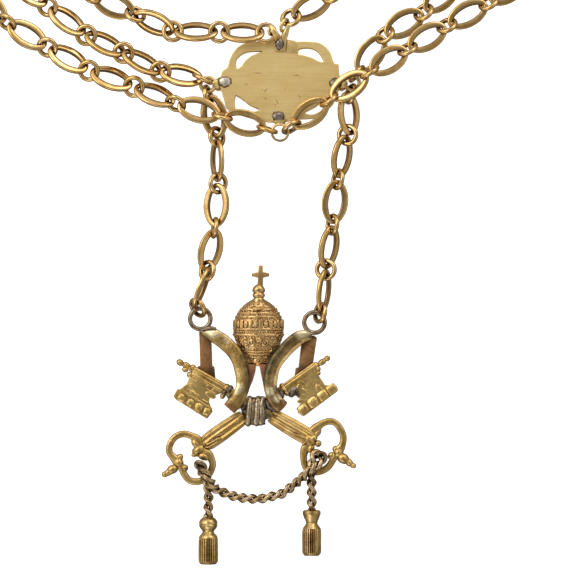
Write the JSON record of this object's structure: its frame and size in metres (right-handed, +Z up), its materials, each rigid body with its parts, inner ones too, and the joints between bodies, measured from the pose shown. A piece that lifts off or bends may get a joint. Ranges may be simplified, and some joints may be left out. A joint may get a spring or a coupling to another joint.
{
  "type": "chain of office",
  "caption": "Gilt brass chain of office: three strands of oval and round links on a riveted medallion, with a tiara and crossed keys pendant on two drop chains.",
  "frame": {"origin": "middle of the underside of the whole collar's box, as it lies on a table", "axes": "+Z up from the table, +Y from the pendant towards the back of the neck, +X to the right seen from above"},
  "size_m": [0.2568, 0.3994, 0.0136],
  "materials": {
    "medallion_brass": "pale gilt brass, brushed across, with fine scratches",
    "chain_brass": "polished gilt brass, worn to orange in the recesses",
    "rivet_steel": "dark grey, filed",
    "tiara_gilt": "coppery gilt, satin",
    "lappet_brass": "greenish brass, polished",
    "aged_copper": "aged copper brown",
    "key_brass": "gilt brass, aged in the recesses",
    "tarnished_silver": "tarnished grey silver solder and wire",
    "cord_brass": "gilt brass with dark recesses"
  },
  "bodies": {
    "root": {"drop_left_01_ring": "chain_brass", "drop_left_02_oval": "chain_brass", "drop_left_03_ring": "chain_brass", "drop_left_04_oval": "chain_brass", "drop_left_05_ring": "chain_brass", "drop_left_06_oval": "chain_brass", "drop_left_07_ring": "chain_brass", "drop_left_08_oval": "chain_brass", "drop_left_09_ring": "chain_brass", "drop_left_10_oval": "chain_brass", "drop_left_11_ring": "chain_brass", "drop_right_01_ring": "chain_brass", "drop_right_02_oval": "chain_brass", "drop_right_03_ring": "chain_brass", "drop_right_04_oval": "chain_brass", "drop_right_05_ring": "chain_brass", "drop_right_06_oval": "chain_brass", "drop_right_07_ring": "chain_brass", "drop_right_08_oval": "chain_brass", "drop_right_09_ring": "chain_brass", "drop_right_10_oval": "chain_brass", "drop_right_11_ring": "chain_brass", "key_binding": "tarnished_silver", "key_left": "key_brass", "key_right": "key_brass", "lappet_left": "lappet_brass", "lappet_right": "lappet_brass", "lappet_strip_left": "aged_copper", "lappet_strip_right": "aged_copper", "lug_bottom": "medallion_brass", "lug_left": "medallion_brass", "lug_right": "medallion_brass", "lug_top": "medallion_brass", "medallion_plate": "medallion_brass", "ring_bottom_left": "chain_brass", "ring_bottom_right": "chain_brass", "ring_middle_left": "chain_brass", "ring_middle_right": "chain_brass", "ring_top_left": "chain_brass", "ring_top_right": "chain_brass", "rivet_bottom": "rivet_steel", "rivet_left": "rivet_steel", "rivet_right": "rivet_steel", "rivet_top": "rivet_steel", "strand_bottom_1": "chain_brass", "strand_bottom_2": "chain_brass", "strand_bottom_3": "chain_brass", "strand_middle_1": "chain_brass", "strand_middle_2": "chain_brass", "strand_middle_3": "chain_brass", "strand_top_1": "chain_brass", "strand_top_2": "chain_brass", "strand_top_3": "chain_brass", "strand_top_4": "chain_brass", "suspension_ring_left": "tarnished_silver", "suspension_ring_right": "tarnished_silver", "tassel_cord": "cord_brass", "tassel_left": "cord_brass", "tassel_right": "cord_brass", "tiara": "tiara_gilt"}
  },
  "joints": []
}
